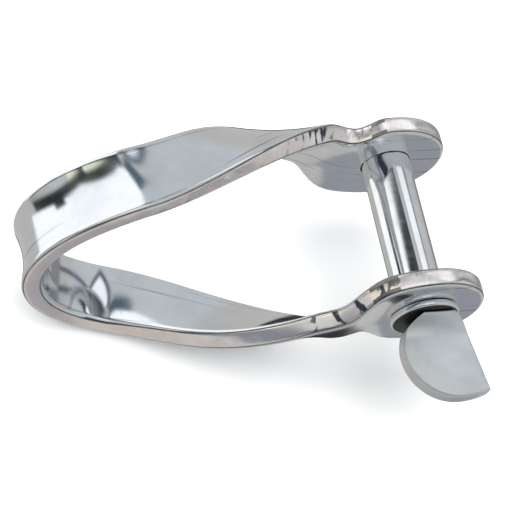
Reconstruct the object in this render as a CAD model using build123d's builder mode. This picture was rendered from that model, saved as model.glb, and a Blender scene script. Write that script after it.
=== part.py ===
from build123d import *
import os
from math import cos, radians, sin

# A twisted strip bow shackle. Millimetres, +Z up. The origin is on the pin's axis, half-way across the jaw.
# +X runs from the bow's crown to the ears, and +Y runs along the pin from its thumb tab to its thread.

# Jaw and pin
jaw_width = 15.0
pin_diameter = 5.0
plain_hole_diameter = 5.2
thread_hole_diameter = 5.0
pin_thread_diameter = 4.9
pin_tip_stand_out = 1.0
pin_tip_chamfer = 0.6
shoulder_gap = 0.05

# Strip and ears
strip_thickness = 2.0
strip_corner = 0.45
crown_strip_width = 6.9
waist_strip_width = 6.9
neck_strip_width = 8.0
ear_diameter = 12.4
ear_flare_start = -8.0
ear_flare_end = -3.6

# Bow, in its own flat profile: how far each point lies from the pin's axis and from the middle line
crown_reach = 37.3
crown_blend_height = 4.4
bow_half_width = 9.7
bow_widest_at = -28.5
crown_blend_length = 5.5
joggle_start = -9.4
joggle_start_half_width = 9.3
joggle_end = -3.7
twist_easing = 1.23
twist_end = -0.5
crown_dish = 0.45
dish_end = -22.0

# Pin head and thumb tab
collar_diameter = 6.9
collar_thickness = 0.7
collar_edge = 0.2
socket_diameter = 2.5
socket_depth = 2.6
tang_diameter = 2.4
tang_length = 2.4
tab_thickness = 1.7
tab_radius = 4.9
tab_centre_x = 1.6
tab_centre_drop = 3.7
tab_shoulder_x = -2.0
tab_straight_top_x = 3.4
tab_corner_x = 4.6
tab_corner_rise = 0.5
tab_edge = 0.2

ear_inner = jaw_width / 2
ear_outer = ear_inner + strip_thickness
ear_middle = ear_inner + strip_thickness / 2
collar_bottom = ear_outer + collar_thickness
stations_per_leg = 48
step = 0.002


def ease(x, start, end):
    """Rise smoothly from 0 to 1 as x goes from start to end."""
    part_way = min(max((x - start) / (end - start), 0), 1)
    return part_way**2 * (3 - 2 * part_way)


def twist_at(x):
    """Angle of the strip about the long axis: flat on at the crown, a quarter turn at the ears."""
    part_way = min(max((x + crown_reach) / (crown_reach + twist_end), 0), 1) ** twist_easing
    return radians(90 * ease(part_way, 0, 1))


def width_at(x):
    """Width of the strip, which flares into the round ear."""
    width = crown_strip_width
    width += (waist_strip_width - crown_strip_width) * ease(x, -crown_reach, bow_widest_at)
    width += (neck_strip_width - waist_strip_width) * ease(x, bow_widest_at, ear_flare_start)
    return width + (ear_diameter - width) * ease(x, ear_flare_start, ear_flare_end)


def centre_at(s):
    """Point on the strip's centre line: s is 1 at the threaded ear, 0 at the crown, -1 at the plain ear."""
    on_profile = bow_profile.line @ abs(s)
    angle = twist_at(on_profile.X)
    side = 1 if s >= 0 else -1
    return Vector(on_profile.X, side * on_profile.Y * sin(angle), side * on_profile.Y * cos(angle))


def strip_section(s):
    """The strip's cross-section at s, square to its centre line, with its back dished near the crown."""
    middle = centre_at(s)
    along = (centre_at(min(s + step, 1)) - centre_at(max(s - step, -1))).normalized()
    angle = twist_at(middle.X)
    across = Vector(0, cos(angle), -sin(angle))
    across = (across - along * across.dot(along)).normalized()
    half_width = width_at(middle.X) / 2
    half_thickness = strip_thickness / 2
    dish = crown_dish * (1 - ease(middle.X, -crown_reach, dish_end))
    inset = half_width - strip_corner
    low = dish - half_thickness
    high = dish + half_thickness
    bulge = strip_corner * (1 - sin(radians(45)))
    with BuildSketch(Plane(origin=middle, x_dir=across, z_dir=along)) as section:
        with BuildLine():
            Bezier((-inset, high), (0, high - 2 * dish), (inset, high))
            ThreePointArc((inset, high), (half_width - bulge, high - bulge), (half_width, high - strip_corner))
            Line((half_width, high - strip_corner), (half_width, low + strip_corner))
            ThreePointArc((half_width, low + strip_corner), (half_width - bulge, low + bulge), (inset, low))
            Bezier((inset, low), (0, low - 2 * dish), (-inset, low))
            ThreePointArc((-inset, low), (bulge - half_width, low + bulge), (-half_width, low + strip_corner))
            Line((-half_width, low + strip_corner), (-half_width, high - strip_corner))
            ThreePointArc((-half_width, high - strip_corner), (bulge - half_width, high - bulge), (-inset, high))
        make_face()
    return section.sketch


# The bow's profile, from the crown to the pin's axis
with BuildLine() as bow_profile:
    Bezier(
        (-crown_reach, 0),
        (-crown_reach, crown_blend_height),
        (bow_widest_at - crown_blend_length, bow_half_width),
        (bow_widest_at, bow_half_width),
    )
    Bezier(
        (bow_widest_at, bow_half_width),
        ((bow_widest_at + joggle_start) / 2, bow_half_width),
        ((bow_widest_at + joggle_start) / 2, joggle_start_half_width),
        (joggle_start, joggle_start_half_width),
    )
    Bezier(
        (joggle_start, joggle_start_half_width),
        ((joggle_start + joggle_end) / 2, joggle_start_half_width),
        ((joggle_start + joggle_end) / 2, ear_middle),
        (joggle_end, ear_middle),
    )
    Line((joggle_end, ear_middle), (0, ear_middle))


# The strip: one bar bent round the crown, each leg twisted a quarter turn into its flat ear
with BuildPart() as shackle_bow:
    stations = [i / stations_per_leg for i in range(-stations_per_leg, stations_per_leg + 1)]
    loft(sections=[strip_section(s) for s in stations])
    for side in (-1, 1):
        with BuildSketch(Plane.YZ) as ear_rim:
            with Locations((side * ear_middle, 0)):
                RectangleRounded(strip_thickness, ear_diameter, strip_corner)
            with Locations((side * ear_middle, -ear_diameter / 2)):
                Rectangle(2 * strip_thickness, ear_diameter, mode=Mode.SUBTRACT)
        revolve(axis=Axis.Y, revolution_arc=180)
    with BuildSketch(Plane.XZ.offset(ear_inner / 2)):
        Circle(plain_hole_diameter / 2)
    extrude(amount=jaw_width, mode=Mode.SUBTRACT)
    with BuildSketch(Plane.XZ.offset(-ear_inner / 2)):
        Circle(thread_hole_diameter / 2)
    extrude(amount=-jaw_width, mode=Mode.SUBTRACT)
shackle_bow.part.label = "shackle_bow"

# The pin: shank, threaded end and collar turned in one piece, with a socket for the tab's tang
with BuildPart() as screw_pin:
    with BuildSketch(Plane.XY) as pin_half:
        with BuildLine():
            Polyline(
                (socket_diameter / 2, -collar_bottom),
                (collar_diameter / 2 - collar_edge, -collar_bottom),
                (collar_diameter / 2, collar_edge - collar_bottom),
                (collar_diameter / 2, -ear_outer - shoulder_gap),
                (pin_diameter / 2, -ear_outer - shoulder_gap),
                (pin_diameter / 2, ear_inner - shoulder_gap),
                (pin_thread_diameter / 2, ear_inner - shoulder_gap),
                (pin_thread_diameter / 2, ear_outer + pin_tip_stand_out - pin_tip_chamfer),
                (pin_thread_diameter / 2 - pin_tip_chamfer, ear_outer + pin_tip_stand_out),
                (0, ear_outer + pin_tip_stand_out),
                (0, socket_depth - collar_bottom),
                (socket_diameter / 2, socket_depth - collar_bottom),
                close=True,
            )
        make_face()
    revolve(axis=Axis.Y)
screw_pin.part.label = "screw_pin"

# The thumb tab: a flat stamped plate, round towards the crown and straight on the far side
with BuildPart() as thumb_tab:
    tab_top = -collar_bottom - shoulder_gap
    tab_centre_y = -collar_bottom - tab_centre_drop
    tab_low = tab_centre_y - tab_radius
    shoulder = (tab_shoulder_x, tab_top)
    foot = (tab_centre_x, tab_low)
    corner = (tab_corner_x, tab_low + tab_corner_rise)
    between = ((tab_centre_x + tab_corner_x) / 2, tab_low + tab_corner_rise / 4)
    with BuildSketch(Plane.XY):
        with BuildLine():
            ThreePointArc(shoulder, (tab_centre_x - tab_radius, tab_centre_y), foot)
            ThreePointArc(foot, between, corner)
            Polyline(corner, (tab_straight_top_x, tab_top), shoulder)
        make_face()
    extrude(amount=tab_thickness / 2, both=True)
    flat_sides = thumb_tab.faces().filter_by(Axis.Z)
    chamfer(flat_sides.edges(), length=tab_edge)
    with BuildSketch(Plane.XZ.offset(-tab_top)):
        Circle(tang_diameter / 2)
    extrude(amount=-tang_length)
thumb_tab.part.label = "thumb_tab"

os.makedirs("parts", exist_ok=True)
for piece in (shackle_bow, screw_pin, thumb_tab):
    export_step(piece.part, f"parts/{piece.part.label}.step")
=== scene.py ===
from math import cos, hypot, radians, sin, tan

import bmesh
import bpy
import numpy as np
from mathutils import Matrix, Vector
from mathutils.geometry import interpolate_bezier


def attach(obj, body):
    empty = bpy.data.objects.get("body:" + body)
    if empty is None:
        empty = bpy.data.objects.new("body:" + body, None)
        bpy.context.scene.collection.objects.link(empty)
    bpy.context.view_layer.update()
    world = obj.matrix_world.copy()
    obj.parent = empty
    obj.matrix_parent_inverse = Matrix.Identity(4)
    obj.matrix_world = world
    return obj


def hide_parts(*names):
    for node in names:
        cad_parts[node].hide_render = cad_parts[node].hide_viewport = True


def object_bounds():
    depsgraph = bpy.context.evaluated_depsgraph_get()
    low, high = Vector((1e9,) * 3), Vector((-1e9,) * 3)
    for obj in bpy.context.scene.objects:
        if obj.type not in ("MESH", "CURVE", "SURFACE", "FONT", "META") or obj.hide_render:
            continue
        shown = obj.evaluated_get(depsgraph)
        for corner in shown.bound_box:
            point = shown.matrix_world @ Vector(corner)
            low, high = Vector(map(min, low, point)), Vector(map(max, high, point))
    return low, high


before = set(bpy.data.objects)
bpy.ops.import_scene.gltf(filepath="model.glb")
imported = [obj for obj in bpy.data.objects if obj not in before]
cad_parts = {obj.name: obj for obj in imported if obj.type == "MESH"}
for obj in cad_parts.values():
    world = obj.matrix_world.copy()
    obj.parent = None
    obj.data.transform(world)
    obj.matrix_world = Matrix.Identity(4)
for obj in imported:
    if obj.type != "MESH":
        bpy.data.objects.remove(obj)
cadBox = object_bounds()
mm = 0.001


# a smooth step: 0 up to start, 1 from end on
def smoothRise(x, start, end):
    partWay = min(max((x - start) / (end - start), 0), 1)
    return partWay * partWay * (3 - 2 * partWay)


def finishPiece(bm, name, body, node, materials):
    mesh = bpy.data.meshes.new(name)
    bm.to_mesh(mesh)
    bm.free()
    mesh.shade_smooth()
    piece = bpy.data.objects.new(name, mesh)
    bpy.context.scene.collection.objects.link(piece)
    for material in materials:
        mesh.materials.append(material)
    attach(piece, body)
    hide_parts(node)
    print("made", name, len(mesh.polygons), "faces")
    return piece


# adds a separately built mesh to a piece and frees it
def mergeInto(bm, part):
    carried = bpy.data.meshes.new("carried")
    part.to_mesh(carried)
    part.free()
    bm.from_mesh(carried)
    bpy.data.meshes.remove(carried)


def vertsIn(geometry):
    return [g for g in geometry if isinstance(g, bmesh.types.BMVert)]


# the recalculation can settle a symmetric piece inside out, so a closed one's volume decides
def faceOutwards(bm):
    bmesh.ops.recalc_face_normals(bm, faces=bm.faces)
    if bm.calc_volume(signed=True) < 0:
        bmesh.ops.reverse_faces(bm, faces=bm.faces)


def markSharp(bm, angle):
    for edge in bm.edges:
        if len(edge.link_faces) == 2 and edge.calc_face_angle(0) > radians(angle):
            edge.smooth = False


def subdivide(piece, levels):
    modifier = piece.modifiers.new("smooth", "SUBSURF")
    modifier.levels = levels
    modifier.render_levels = levels


# adds a node, sets its options, then links or fills its inputs
def addNode(tree, kind, inputs=None, **settings):
    node = tree.nodes.new(kind)
    for key, value in settings.items():
        setattr(node, key, value)
    for key, value in (inputs or {}).items():
        if isinstance(value, bpy.types.NodeSocket):
            tree.links.new(value, node.inputs[key])
        else:
            node.inputs[key].default_value = value
    return node


def newGroup(name, inputs, outputs):
    group = bpy.data.node_groups.new(name, "ShaderNodeTree")
    for title, kind, value in inputs:
        socket = group.interface.new_socket(title, in_out="INPUT", socket_type="NodeSocket" + kind)
        if value is not None:
            socket.default_value = value
    for title in outputs:
        group.interface.new_socket(title, in_out="OUTPUT", socket_type="NodeSocketFloat")
    source = group.nodes.new("NodeGroupInput")
    sink = group.nodes.new("NodeGroupOutput")
    return group, source.outputs, sink.inputs


def placeGroup(tree, group, inputs):
    return addNode(tree, "ShaderNodeGroup", inputs, node_tree=group).outputs


def calculate(tree, operation, *values):
    return addNode(tree, "ShaderNodeMath", dict(enumerate(values)), operation=operation).outputs[0]


def ramp(tree, value, start, end, **settings):
    inputs = {"Value": value, "From Min": start, "From Max": end}
    return addNode(tree, "ShaderNodeMapRange", inputs, **settings).outputs[0]


def blend(tree, factor, first, second):
    inputs = {"Factor": factor, "A": first, "B": second}
    return addNode(tree, "ShaderNodeMix", inputs, data_type="RGBA").outputs["Result"]


def noise(tree, place, scale, detail, **more):
    inputs = {"Vector": place, "Scale": scale, "Detail": detail, **more}
    return addNode(tree, "ShaderNodeTexNoise", inputs).outputs["Fac"]


def bump(tree, height, depth, **more):
    inputs = {"Height": height, "Distance": depth, "Strength": 1.0, **more}
    return addNode(tree, "ShaderNodeBump", inputs).outputs[0]


# polishing lines: long fine scratches that run along the first coordinate
def makePolishLines():
    group, given, result = newGroup(
        "polishLines",
        [("Place", "Vector", None), ("Length", "Float", 60.0), ("Fineness", "Float", 6000.0)],
        ["Lines"],
    )
    split = addNode(group, "ShaderNodeSeparateXYZ", {"Vector": given["Place"]}).outputs
    stretched = addNode(group, "ShaderNodeCombineXYZ", {
        "X": calculate(group, "MULTIPLY", split["X"], given["Length"]),
        "Y": calculate(group, "MULTIPLY", split["Y"], given["Fineness"]),
        "Z": calculate(group, "MULTIPLY", split["Z"], given["Fineness"]),
    }).outputs[0]
    group.links.new(noise(group, stretched, 1.0, 3.0), result["Lines"])
    return group


wear = {
    "smudgeDetail": 4.0,
    "smudgeBreakup": 0.6,
    "smudgeRamp": (0.35, 0.7),
    "dentRamp": (0.02, 0.16),
}


# handling: soft smudges and a few tiny dents
def makeHandling():
    group, given, result = newGroup(
        "handling",
        [("Place", "Vector", None), ("Smudge Size", "Float", 220.0), ("Dent Size", "Float", 700.0)],
        ["Smudges", "Dents"],
    )
    smudge = noise(
        group, given["Place"], given["Smudge Size"], wear["smudgeDetail"], Roughness=wear["smudgeBreakup"]
    )
    cells = addNode(
        group, "ShaderNodeTexVoronoi", {"Vector": given["Place"], "Scale": given["Dent Size"]}
    ).outputs["Distance"]
    group.links.new(ramp(group, smudge, *wear["smudgeRamp"]), result["Smudges"])
    group.links.new(ramp(group, cells, *wear["dentRamp"]), result["Dents"])
    return group


press = {
    "along": 1150.0,
    "across": 420.0,
    "detail": 2.0,
    "barRamp": (0.55, 0.60),
    "crownSide": (-15 * mm, -11 * mm),
    "eyeSide": (-1 * mm, -6 * mm),
}


# press marks: short bars across the strip, painted dark as the shade their bend kinks reflect, only where
# the strip was set over towards its eye
def makePressMarkShade():
    group, given, result = newGroup(
        "pressMarkShade", [("Place", "Vector", None), ("Along", "Float", 0.0)], ["Bars"]
    )
    split = addNode(group, "ShaderNodeSeparateXYZ", {"Vector": given["Place"]}).outputs
    stretched = addNode(group, "ShaderNodeCombineXYZ", {
        "X": calculate(group, "MULTIPLY", split["X"], press["along"]),
        "Y": calculate(group, "MULTIPLY", split["Y"], press["across"]),
    }).outputs[0]
    bars = ramp(group, noise(group, stretched, 1.0, press["detail"]), *press["barRamp"])
    near = ramp(group, given["Along"], *press["crownSide"])
    far = ramp(group, given["Along"], *press["eyeSide"])
    patch = calculate(group, "MULTIPLY", near, far)
    group.links.new(calculate(group, "MULTIPLY", bars, patch), result["Bars"])
    return group


polishLines = makePolishLines()
handling = makeHandling()
pressMarkShade = makePressMarkShade()


# worn polished steel; streaks, and press marks with painted reflected shade, only where the look asks for
# them
def steelMaterial(name, look, placeNode):
    material = bpy.data.materials.new(name)
    material.use_nodes = True
    tree = material.node_tree
    shader = tree.nodes["Principled BSDF"]
    shader.inputs["Metallic"].default_value = 1.0
    place = placeNode(tree)
    objectPoint = objectPlace(tree)
    lines = placeGroup(
        tree, polishLines, {"Place": place, "Length": look["lineLength"], "Fineness": look["lineFineness"]}
    )["Lines"]
    marks = placeGroup(
        tree, handling,
        {"Place": objectPoint, "Smudge Size": look["smudgeSize"], "Dent Size": look["dentSize"]},
    )
    colour = blend(tree, marks["Smudges"], look["colour"], look["smudgeColour"])
    if "streakColour" in look:
        coarse = placeGroup(
            tree, polishLines,
            {"Place": place, "Length": look["streakLength"], "Fineness": look["streakFineness"]},
        )["Lines"]
        colour = blend(tree, ramp(tree, coarse, *look["streakRamp"]), colour, look["streakColour"])
    # press marks get painted reflected shade as a near-black colour
    if "markShadeColour" in look:
        along = addNode(tree, "ShaderNodeSeparateXYZ", {"Vector": objectPoint}).outputs["X"]
        bars = placeGroup(tree, pressMarkShade, {"Place": place, "Along": along})["Bars"]
        colour = blend(tree, bars, colour, look["markShadeColour"])
    tree.links.new(colour, shader.inputs["Base Color"])
    streak = calculate(tree, "MULTIPLY_ADD", lines, look["lineRoughness"], look["roughness"])
    rough = calculate(tree, "MULTIPLY_ADD", marks["Smudges"], look["smudgeRoughness"], streak)
    tree.links.new(rough, shader.inputs["Roughness"])
    waves = bump(tree, noise(tree, objectPoint, look["waveSize"], 1.0), look["waveDepth"])
    grain = bump(tree, lines, look["lineDepth"], Normal=waves)
    dents = bump(tree, marks["Dents"], look["dentDepth"], Normal=grain)
    tree.links.new(dents, shader.inputs["Normal"])
    return material


def objectPlace(tree):
    return addNode(tree, "ShaderNodeTexCoord").outputs["Object"]


# the strip's own map: along it from the crown, and across it
def stripPlace(tree):
    return addNode(tree, "ShaderNodeUVMap", uv_map="strip").outputs["UV"]


def pinPlace(tree):
    quarterTurn = (0, 0, radians(90))
    return addNode(
        tree, "ShaderNodeMapping", {"Vector": objectPlace(tree), "Rotation": quarterTurn}
    ).outputs[0]


stripLook = {
    "colour": (0.80, 0.82, 0.84, 1), "smudgeColour": (0.70, 0.73, 0.76, 1),
    "roughness": 0.05, "smudgeRoughness": 0.08, "lineRoughness": 0.06,
    "lineLength": 60.0, "lineFineness": 5000.0, "lineDepth": 0.0000015,
    "smudgeSize": 260.0, "dentSize": 420.0, "dentDepth": 0.000002,
    "waveSize": 170.0, "waveDepth": 0.00003,
    "streakColour": (0.36, 0.40, 0.44, 1), "streakLength": 45.0, "streakFineness": 1500.0,
    "streakRamp": (0.60, 0.70),
}
edgeLook = {
    "colour": (0.97, 0.93, 0.92, 1), "smudgeColour": (0.86, 0.76, 0.73, 1),
    # painted reflected shade for the press marks
    "markShadeColour": (0.07, 0.08, 0.10, 1),
    "roughness": 0.12, "smudgeRoughness": 0.16, "lineRoughness": 0.10,
    "lineLength": 160.0, "lineFineness": 3000.0, "lineDepth": 0.000004,
    "smudgeSize": 420.0, "dentSize": 800.0, "dentDepth": 0.000006,
    "waveSize": 380.0, "waveDepth": 0.00012,
}
pinLook = {
    "colour": (0.82, 0.83, 0.84, 1), "smudgeColour": (0.72, 0.72, 0.72, 1),
    "roughness": 0.06, "smudgeRoughness": 0.06, "lineRoughness": 0.05,
    "lineLength": 3000.0, "lineFineness": 120.0, "lineDepth": 0.0000015,
    "smudgeSize": 300.0, "dentSize": 500.0, "dentDepth": 0.000002,
    "waveSize": 120.0, "waveDepth": 0.00001,
}
tabLook = {
    "colour": (0.74, 0.76, 0.77, 1), "smudgeColour": (0.64, 0.66, 0.67, 1),
    "roughness": 0.30, "smudgeRoughness": 0.12, "lineRoughness": 0.10,
    "lineLength": 700.0, "lineFineness": 900.0, "lineDepth": 0.000003,
    "smudgeSize": 330.0, "dentSize": 700.0, "dentDepth": 0.000003,
    "waveSize": 160.0, "waveDepth": 0.00001,
}

# painted dark reflection line: the corner faces between the polished face and the sheared edge are painted
# near black, with a warm smudge
cornerShadeLook = {
    "colour": (0.13, 0.135, 0.15, 1), "smudgeColour": (0.42, 0.38, 0.33, 1),
    "roughness": 0.22, "smudgeRoughness": 0.10, "lineRoughness": 0.10,
    "lineLength": 160.0, "lineFineness": 3000.0, "lineDepth": 0.000004,
    "smudgeSize": 300.0, "dentSize": 800.0, "dentDepth": 0.000004,
    "waveSize": 380.0, "waveDepth": 0.00003,
}
# painted shadow: the collar's underside is painted near black for the shade that falls between collar and
# tab
collarShadowLook = {
    "colour": (0.05, 0.055, 0.06, 1), "smudgeColour": (0.10, 0.095, 0.085, 1),
    "roughness": 0.32, "smudgeRoughness": 0.25, "lineRoughness": 0.10,
    "lineLength": 900.0, "lineFineness": 900.0, "lineDepth": 0.000003,
    "smudgeSize": 600.0, "dentSize": 700.0, "dentDepth": 0.000003,
    "waveSize": 160.0, "waveDepth": 0.00001,
}

polishedStrip = steelMaterial("polishedStrip", stripLook, stripPlace)
shearedEdge = steelMaterial("shearedEdge", edgeLook, stripPlace)
paintedCornerShade = steelMaterial("paintedCornerShade", cornerShadeLook, stripPlace)
polishedPin = steelMaterial("polishedPin", pinLook, pinPlace)
paintedCollarShadow = steelMaterial("paintedCollarShadow", collarShadowLook, objectPlace)
satinTab = steelMaterial("satinTab", tabLook, objectPlace)
print("materials made")


# the bow: a flat blank with two eyes, bent round the crown and twisted

bow = {
    "thickness": 2.0 * mm,
    "edgeRadius": 0.45 * mm,
    "stripWidth": 6.9 * mm,
    "neckWidth": 8.0 * mm,
    "eyeRadius": 6.2 * mm,
    "flareStart": -8.0 * mm,
    "flareEnd": -3.6 * mm,
    "crownReach": 37.3 * mm,
    "crownBlend": 4.4 * mm,
    "crownLength": 5.5 * mm,
    "halfWidth": 9.7 * mm,
    "widestAt": -28.5 * mm,
    "joggleStart": -9.4 * mm,
    "joggleHalfWidth": 9.3 * mm,
    "joggleEnd": -3.7 * mm,
    "eyeMiddle": 8.5 * mm,
    "twistEasing": 1.23,
    "twistEnd": -0.5 * mm,
    "dish": 0.45 * mm,
    "dishEnd": -22.0 * mm,
    "plainHole": 2.6 * mm,
    "threadHole": 2.5 * mm,
    "holeEdge": 0.12 * mm,
    "eyeReach": 6.2 * mm,
    "eyeFlatFrom": 90,
    "eyeCorner": 135,
    "eyeRings": 4,
    "cellsAcross": 12,
    "cellsAlong": 150,
    "curveSteps": 500,
    "bendStep": 0.05 * mm,
    "dishLimit": 1.1,
    "weld": 0.01 * mm,
    "edgeSteps": 4,
    "holeEdgeSteps": 2,
    "satinBelow": 0.2,
    "cornerShadeBelow": 0.7,
}


def bowProfile():
    mid = (bow["widestAt"] + bow["joggleStart"]) / 2
    bend = (bow["joggleStart"] + bow["joggleEnd"]) / 2
    crown, wide, joggle = -bow["crownReach"], bow["halfWidth"], bow["joggleHalfWidth"]
    widest, start, end, eye = bow["widestAt"], bow["joggleStart"], bow["joggleEnd"], bow["eyeMiddle"]
    curves = (
        ((crown, 0), (crown, bow["crownBlend"]), (widest - bow["crownLength"], wide), (widest, wide)),
        ((widest, wide), (mid, wide), (mid, joggle), (start, joggle)),
        ((start, joggle), (bend, joggle), (bend, eye), (end, eye)),
    )
    points = []
    for curve in curves:
        handles = [Vector((x, y, 0)) for x, y in curve]
        points += [(p[0], p[1]) for p in interpolate_bezier(*handles, bow["curveSteps"])]
    points.append((2 * bow["eyeRadius"], bow["eyeMiddle"]))
    xs = np.array([p[0] for p in points])
    ys = np.array([p[1] for p in points])
    lengths = np.concatenate([[0], np.cumsum(np.hypot(np.diff(xs), np.diff(ys)))])
    return xs, ys, lengths


profileX, profileY, profileLength = bowProfile()
# from the crown to the middle of an eye, along the strip
toEye = float(np.interp(0, profileX, profileLength))


def profileAt(distance):
    x = float(np.interp(abs(distance), profileLength, profileX))
    return x, float(np.interp(abs(distance), profileLength, profileY))


def twistAt(x):
    partWay = min(max((x + bow["crownReach"]) / (bow["crownReach"] + bow["twistEnd"]), 0), 1)
    return radians(90) * smoothRise(partWay ** bow["twistEasing"], 0, 1)


def halfWidthAt(distance):
    x, _ = profileAt(distance)
    taper = smoothRise(x, bow["widestAt"], bow["flareStart"])
    width = bow["stripWidth"] + (bow["neckWidth"] - bow["stripWidth"]) * taper
    width += (2 * bow["eyeRadius"] - width) * smoothRise(x, bow["flareStart"], bow["flareEnd"])
    return width / 2


def centreAt(distance):
    x, out = profileAt(distance)
    side = 1 if distance >= 0 else -1
    return Vector((x, side * out * sin(twistAt(x)), side * out * cos(twistAt(x))))


# where a point of the flat blank ends up: u along it from the crown, v across it, w through its thickness
def bendPoint(u, v, w):
    step = bow["bendStep"]
    centre = centreAt(u)
    along = (centreAt(u + step) - centreAt(u - step)).normalized()
    angle = twistAt(centre.x)
    across = Vector((0, cos(angle), -sin(angle)))
    across = (across - along * across.dot(along)).normalized()
    outward = along.cross(across)
    dish = bow["dish"] * (1 - smoothRise(centre.x, -bow["crownReach"], bow["dishEnd"]))
    inset = bow["stripWidth"] / 2 - bow["edgeRadius"]
    return centre + across * v + outward * (w + dish * min(abs(v) / inset, bow["dishLimit"]) ** 2)


# outline of an eye, as seen from the middle of its hole: round in front, straight where the strip joins it
def eyeOutline(turn):
    away = abs(turn)
    sign = 1 if turn >= 0 else -1
    flatFrom, corner = bow["eyeFlatFrom"], bow["eyeCorner"]
    if away <= flatFrom:
        return bow["eyeRadius"] * cos(radians(away)), sign * bow["eyeRadius"] * sin(radians(away))
    if away <= corner:
        back = -bow["eyeReach"] * (away - flatFrom) / (corner - flatFrom)
        return back, sign * halfWidthAt(toEye + back)
    across = halfWidthAt(toEye - bow["eyeReach"]) * (180 - away) / (180 - corner)
    return -bow["eyeReach"], sign * across


# a flat washer whose rim follows the eye's outline, added to the blank at one end
def addEye(bm, side, holeRadius):
    eye = bmesh.new()
    bmesh.ops.create_circle(eye, segments=4 * bow["cellsAcross"], radius=holeRadius)
    for vert in vertsIn(bmesh.ops.extrude_edge_only(eye, edges=eye.edges[:])["geom"]):
        turn = float(np.degrees(np.arctan2(vert.co.y, vert.co.x)))
        vert.co.x, vert.co.y = eyeOutline(round(turn, 3))
        vert.tag = True
    spokes = [e for e in eye.edges if e.verts[0].tag != e.verts[1].tag]
    bmesh.ops.subdivide_edges(eye, edges=spokes, cuts=bow["eyeRings"])
    move = Matrix.Translation((side * toEye, 0, 0)) @ Matrix.Diagonal((side, 1, 1, 1))
    bmesh.ops.transform(eye, matrix=move, verts=eye.verts)
    mergeInto(bm, eye)


def makeBow():
    bm = bmesh.new()
    straight = toEye - bow["eyeReach"]
    bmesh.ops.create_grid(bm, x_segments=bow["cellsAlong"], y_segments=bow["cellsAcross"], size=1)
    for vert in bm.verts:
        vert.co.x *= straight
        vert.co.y *= halfWidthAt(vert.co.x)
    addEye(bm, 1, bow["threadHole"])
    addEye(bm, -1, bow["plainHole"])
    bmesh.ops.remove_doubles(bm, verts=bm.verts, dist=bow["weld"])
    bmesh.ops.recalc_face_normals(bm, faces=bm.faces)
    bmesh.ops.translate(bm, verts=bm.verts, vec=(0, 0, -bow["thickness"] / 2))
    raised = vertsIn(bmesh.ops.extrude_face_region(bm, geom=bm.faces[:])["geom"])
    bmesh.ops.translate(bm, verts=raised, vec=(0, 0, bow["thickness"]))
    bmesh.ops.recalc_face_normals(bm, faces=bm.faces)

    def isRim(edge):
        flats = [abs(f.normal.z) > 0.5 for f in edge.link_faces]
        return len(flats) == 2 and flats[0] != flats[1]

    def inHole(edge):
        middle = (edge.verts[0].co + edge.verts[1].co) / 2
        return hypot(abs(middle.x) - toEye, middle.y) < bow["plainHole"] + 0.1 * mm

    rims = [e for e in bm.edges if isRim(e)]
    outlineEdges = [e for e in rims if not inHole(e)]
    bmesh.ops.bevel(
        bm, geom=outlineEdges, offset=bow["edgeRadius"], segments=bow["edgeSteps"], profile=0.5,
        affect="EDGES", material=-1,
    )
    holeEdges = [e for e in bm.edges if isRim(e) and inHole(e)]
    bmesh.ops.bevel(
        bm, geom=holeEdges, offset=bow["holeEdge"], segments=bow["holeEdgeSteps"], profile=0.5,
        affect="EDGES", material=-1,
    )
    layer = bm.loops.layers.uv.new("strip")
    for face in bm.faces:
        tilt = abs(face.normal.z)
        # corner faces tilted half way round the edge take the painted dark reflection line
        face.material_index = 1 if tilt < bow["satinBelow"] else 2 if tilt < bow["cornerShadeBelow"] else 0
        for loop in face.loops:
            u, v, w = loop.vert.co
            loop[layer].uv = (u, v + w)
    for vert in bm.verts:
        vert.co = bendPoint(*vert.co)
    faceOutwards(bm)
    steels = [polishedStrip, shearedEdge, paintedCornerShade]
    return finishPiece(bm, "bowStrip", "bow", "shackle_bow", steels)


subdivide(makeBow(), 1)


# the pin

pin = {
    "shankRadius": 2.5 * mm,
    "threadRadius": 2.45 * mm,
    "threadFrom": 7.45 * mm,
    "tip": 10.5 * mm,
    "tipChamfer": 0.3 * mm,
    "coreRadius": 2.05 * mm,
    "pitch": 0.8 * mm,
    "turns": 3,
    "stepsPerTurn": 48,
    "ridgeHalf": 0.45,
    "crestShare": 0.15,
    "footDepth": 0.05 * mm,
    "sharpAngle": 35,
    "collarRadius": 3.45 * mm,
    "collarTop": -9.55 * mm,
    "collarBottom": -10.2 * mm,
    "collarEdge": 0.2 * mm,
    "segments": 96,
}


# one ridge wound round the core of the tip, its foot sunk into the core
def addThread(bm):
    ridge = bmesh.new()
    half = pin["pitch"] * pin["ridgeHalf"]
    foot = pin["coreRadius"] - pin["footDepth"]
    start = pin["threadFrom"] + half
    section = (
        (foot, start - half),
        (pin["threadRadius"], start - half * pin["crestShare"]),
        (pin["threadRadius"], start + half * pin["crestShare"]),
        (foot, start + half),
    )
    face = ridge.faces.new([ridge.verts.new((radius, y, 0)) for radius, y in section])
    steps = pin["turns"] * pin["stepsPerTurn"]
    bmesh.ops.spin(
        ridge, geom=[face], cent=(0, 0, 0), axis=(0, 1, 0), dvec=(0, pin["pitch"] / pin["stepsPerTurn"], 0),
        angle=radians(360 * pin["turns"]), steps=steps,
    )
    faceOutwards(ridge)
    mergeInto(bm, ridge)


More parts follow.
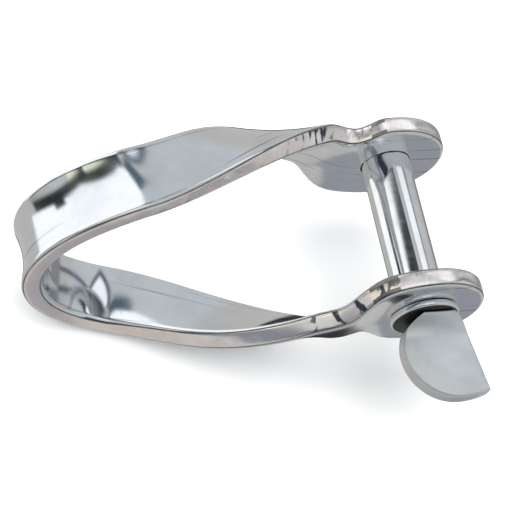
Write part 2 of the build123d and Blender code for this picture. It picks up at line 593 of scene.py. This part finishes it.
def makePin():
    bm = bmesh.new()
    outline = (
        (0, pin["collarBottom"]),
        (pin["collarRadius"], pin["collarBottom"]),
        (pin["collarRadius"], pin["collarTop"]),
        (pin["shankRadius"], pin["collarTop"]),
        (pin["shankRadius"], pin["threadFrom"]),
        (pin["coreRadius"], pin["threadFrom"]),
        (pin["coreRadius"], pin["tip"] - pin["tipChamfer"]),
        (pin["coreRadius"] - pin["tipChamfer"], pin["tip"]),
        (0, pin["tip"]),
    )
    verts = [bm.verts.new((radius, y, 0)) for radius, y in outline]
    edges = [bm.edges.new(pair) for pair in zip(verts, verts[1:])]
    bmesh.ops.spin(
        bm, geom=verts + edges, cent=(0, 0, 0), axis=(0, 1, 0), angle=radians(360),
        steps=pin["segments"], use_merge=True,
    )
    bmesh.ops.remove_doubles(bm, verts=bm.verts, dist=0.001 * mm)
    faceOutwards(bm)

    def onCollarEdge(edge):
        return all(
            hypot(v.co.x, v.co.z) > pin["collarRadius"] - 0.01 * mm for v in edge.verts
        ) and abs(edge.verts[0].co.y - edge.verts[1].co.y) < 0.001 * mm

    bmesh.ops.bevel(
        bm, geom=[e for e in bm.edges if onCollarEdge(e)], offset=pin["collarEdge"], segments=3, profile=0.5,
        affect="EDGES", material=-1,
    )
    addThread(bm)
    markSharp(bm, pin["sharpAngle"])
    # the collar's underside takes the painted shadow
    for face in bm.faces:
        middle = face.calc_center_median()
        under = middle.y < pin["collarBottom"] + 0.001 * mm
        face.material_index = 1 if under and face.normal.y < -0.99 else 0
    return finishPiece(bm, "screwPin", "pin", "screw_pin", [polishedPin, paintedCollarShadow])


makePin()


# the thumb tab

tab = {
    "radius": 4.9 * mm,
    "centreX": 1.6 * mm,
    "centreY": -13.9 * mm,
    "top": -10.25 * mm,
    "footStretch": 1.39,
    "straightTop": (3.4 * mm, -10.25 * mm),
    "straightFoot": (4.6 * mm, -18.3 * mm),
    "thickness": 1.7 * mm,
    "edge": 0.22 * mm,
    "rootLength": 2.2 * mm,
    "rootCuts": 8,
    "rootThickness": 4.9 * mm,
    "rootMiddle": 0.4 * mm,
    "shoulderDraw": 0.42,
    "segments": 96,
    "sharpAngle": 50,
}


# cuts the leaf along a line, and takes away what lies beyond it if asked
def cutLine(bm, point, normal, away=False):
    bmesh.ops.bisect_plane(
        bm, geom=bm.verts[:] + bm.edges[:] + bm.faces[:], plane_co=point, plane_no=normal,
        dist=0.0001 * mm, clear_outer=away,
    )


def makeTab():
    bm = bmesh.new()
    bmesh.ops.create_circle(bm, cap_ends=True, segments=tab["segments"], radius=tab["radius"])
    for vert in bm.verts:
        if vert.co.x > 0:
            vert.co.x *= tab["footStretch"]
    bmesh.ops.translate(bm, verts=bm.verts, vec=(tab["centreX"], tab["centreY"], -tab["thickness"] / 2))
    cutLine(bm, (0, tab["top"], 0), (0, 1, 0), away=True)
    (topX, topY), (footX, footY) = tab["straightTop"], tab["straightFoot"]
    cutLine(bm, (topX, topY, 0), (topY - footY, footX - topX, 0), away=True)
    for cut in range(1, tab["rootCuts"] + 1):
        height = tab["top"] - tab["rootLength"] * cut / tab["rootCuts"]
        cutLine(bm, (0, height, 0), (0, 1, 0))
    raised = vertsIn(bmesh.ops.extrude_face_region(bm, geom=bm.faces[:])["geom"])
    bmesh.ops.translate(bm, verts=raised, vec=(0, 0, tab["thickness"]))
    faceOutwards(bm)
    around = [e for e in bm.edges if sum(abs(f.normal.z) > 0.9 for f in e.link_faces) == 1]
    bmesh.ops.bevel(
        bm, geom=around, offset=tab["edge"], segments=3, profile=0.5, affect="EDGES", material=-1
    )
    # the root swells towards the collar and its shoulders draw in
    rootStart = tab["top"] - tab["rootLength"]
    for vert in bm.verts:
        swell = max(0, (vert.co.y - rootStart) / tab["rootLength"]) ** 2
        vert.co.z *= 1 + (tab["rootThickness"] / tab["thickness"] - 1) * swell
        vert.co.x += (tab["rootMiddle"] - vert.co.x) * tab["shoulderDraw"] * swell ** 2
    markSharp(bm, tab["sharpAngle"])
    return finishPiece(bm, "thumbTab", "tab", "thumb_tab", [satinTab])


makeTab()


# floor, light and camera

studio = {
    "floorSize": 3.0,
    "floorColour": (0.95, 0.95, 0.95, 1),
    "floorLight": 12.0,
    "floorLightSize": 1.2,
    "floorLightHeight": 0.8,
    "upperColour": (0.60, 0.63, 0.65, 1),
    "lowerColour": (0.56, 0.55, 0.53, 1),
    "seenColour": (1.0, 1.0, 1.0, 1),
    "horizonBlend": 0.15,
    "cardSoftness": 0.03,
    "floorRoughness": 0.9,
    "floorGap": 0.05 * mm,
}

# soft boxes and dark flags round the object, later ones over earlier ones:
# compass angle, height, half width, half height and lean in degrees, then colour
cards = {
    "zenithBox": (0, 89, 16, 16, 0, (0.95, 0.96, 0.97, 1)),
    "whiteBox": (127, 14, 36, 50, 0, (1.20, 1.23, 1.25, 1)),
    "paleCard": (161, 52, 28, 10, 122, (1.10, 1.08, 0.86, 1)),
    "darkStripe": (163.5, 10, 5, 35, 0, (0.02, 0.03, 0.03, 1)),
    "darkBend": (142, 55, 25, 5, 134, (0.02, 0.03, 0.03, 1)),
    "darkEnd": (102, 65, 9, 3, 164, (0.04, 0.05, 0.06, 1)),
    "pinFlagA": (157, 3, 3.5, 6, 0, (0.03, 0.035, 0.04, 1)),
    "pinFlagB": (88, 64, 2.5, 4, 0, (0.04, 0.05, 0.055, 1)),
    "blueCard": (-150, 26, 16, 14, 0, (0.22, 0.25, 0.30, 1)),
    "photographer": (-100, 38, 34, 13, 0, (0.03, 0.03, 0.04, 1)),
    "behind": (55, -59, 15, 15, 0, (0.03, 0.03, 0.035, 1)),
    "crownFrame": (38, 46, 19, 15, 0, (0.08, 0.11, 0.15, 1)),
    "crownBox": (38, 47, 15, 12, 0, (1.10, 1.14, 1.18, 1)),
    "tealFlag": (79, 51, 4, 8, 0, (0.07, 0.12, 0.16, 1)),
    "thinFlagA": (18, 10, 2.5, 30, 0, (0.04, 0.05, 0.07, 1)),
    "thinFlagB": (33, 5, 2, 25, 0, (0.10, 0.11, 0.13, 1)),
    "rightFlag": (30, -28, 14, 10, 0, (0.26, 0.27, 0.28, 1)),
    "eyeCard": (-54, -56, 14, 14, 0, (0.34, 0.35, 0.38, 1)),
}


def makeFloor():
    bm = bmesh.new()
    bmesh.ops.create_grid(bm, x_segments=2, y_segments=2, size=studio["floorSize"] / 2)
    bmesh.ops.translate(bm, verts=bm.verts, vec=(0, 0, cadBox[0].z - studio["floorGap"]))
    mesh = bpy.data.meshes.new("floor")
    bm.to_mesh(mesh)
    bm.free()
    floor = bpy.data.objects.new("floor", mesh)
    bpy.context.scene.collection.objects.link(floor)
    material = bpy.data.materials.new("paleFloor")
    material.use_nodes = True
    shader = material.node_tree.nodes["Principled BSDF"]
    shader.inputs["Base Color"].default_value = studio["floorColour"]
    shader.inputs["Roughness"].default_value = studio["floorRoughness"]
    mesh.materials.append(material)
    floor.visible_glossy = False  # the steel mirrors the studio cards instead


# how far a direction lies inside a card, 1 in its middle and 0 outside, with soft borders
def makeCardGroup():
    group, given, result = newGroup(
        "studioCard",
        [("Direction", "Vector", None), ("Facing", "Vector", None), ("Side", "Vector", None),
         ("Top", "Vector", None), ("Half Width", "Float", 0.3), ("Half Height", "Float", 0.3),
         ("Soft", "Float", 0.05)],
        ["Inside"],
    )

    def dot(title):
        inputs = {0: given["Direction"], 1: given[title]}
        return addNode(group, "ShaderNodeVectorMath", inputs, operation="DOT_PRODUCT").outputs["Value"]

    leastAhead = 0.05  # keeps directions beside and behind the card out of the division
    ahead = dot("Facing")
    inside = calculate(group, "GREATER_THAN", ahead, leastAhead)
    for title, half in (("Side", "Half Width"), ("Top", "Half Height")):
        depth = calculate(group, "MAXIMUM", ahead, leastAhead)
        offset = calculate(group, "ABSOLUTE", calculate(group, "DIVIDE", dot(title), depth))
        beyond = calculate(group, "DIVIDE", calculate(group, "SUBTRACT", given[half], offset), given["Soft"])
        edge = ramp(group, beyond, -1.0, 1.0, interpolation_type="SMOOTHSTEP")
        inside = calculate(group, "MULTIPLY", inside, edge)
    group.links.new(inside, result["Inside"])
    return group


def makeWorld():
    world = bpy.data.worlds.new("studio")
    bpy.context.scene.world = world
    world.use_nodes = True
    tree = world.node_tree
    direction = addNode(tree, "ShaderNodeTexCoord").outputs["Generated"]
    height = addNode(tree, "ShaderNodeSeparateXYZ", {"Vector": direction}).outputs["Z"]
    soft = studio["horizonBlend"]
    rise = ramp(tree, height, -soft, soft, interpolation_type="SMOOTHSTEP")
    colour = blend(tree, rise, studio["lowerColour"], studio["upperColour"])
    card = makeCardGroup()
    for compass, up, halfWide, halfHigh, lean, shade in cards.values():
        east, north = cos(radians(compass)), sin(radians(compass))
        facing = Vector((east * cos(radians(up)), north * cos(radians(up)), sin(radians(up))))
        side = Vector((-north, east, 0))
        side.rotate(Matrix.Rotation(radians(lean), 3, facing))
        inside = placeGroup(tree, card, {
            "Direction": direction, "Facing": facing, "Side": side, "Top": facing.cross(side),
            "Half Width": tan(radians(halfWide)), "Half Height": tan(radians(halfHigh)),
            "Soft": studio["cardSoftness"],
        })["Inside"]
        colour = blend(tree, inside, colour, shade)
    seen = addNode(tree, "ShaderNodeLightPath").outputs["Is Camera Ray"]
    shown = blend(tree, seen, colour, studio["seenColour"])
    tree.links.new(shown, tree.nodes["Background"].inputs["Color"])


# a wide soft light for the floor; the steel doesn't mirror it
def addFloorLight():
    light = bpy.data.lights.new("floorLight", "AREA")
    light.size = studio["floorLightSize"]
    light.energy = studio["floorLight"]
    lamp = bpy.data.objects.new("floorLight", light)
    bpy.context.scene.collection.objects.link(lamp)
    lamp.location = (0, 0, studio["floorLightHeight"])
    lamp.visible_glossy = False


view = {
    "aim": (-15.93 * mm, -2.04 * mm, 0),
    "distance": 150 * mm,
    "lens": 108.9,
    "sensor": 36,
    "nearest": 5 * mm,
    "turn": 19.19,
    "tilt": 25.1,
    "roll": 11.8,
}


def makeCamera():
    data = bpy.data.cameras.new("camera")
    data.lens = view["lens"]
    data.sensor_width = view["sensor"]
    data.clip_start = view["nearest"]
    camera = bpy.data.objects.new("camera", data)
    bpy.context.scene.collection.objects.link(camera)
    facing = (
        Matrix.Rotation(radians(-view["turn"]), 4, "Y")
        @ Matrix.Rotation(radians(view["tilt"]), 4, "X")
        @ Matrix.Rotation(radians(-view["roll"]), 4, "Z")
    )
    back = facing @ Vector((0, 0, 1))
    camera.matrix_world = Matrix.Translation(Vector(view["aim"]) + back.to_3d() * view["distance"]) @ facing
    bpy.context.scene.camera = camera


makeFloor()
makeWorld()
makeCamera()
addFloorLight()
bpy.context.scene.view_settings.view_transform = "Standard"
print("studio made")
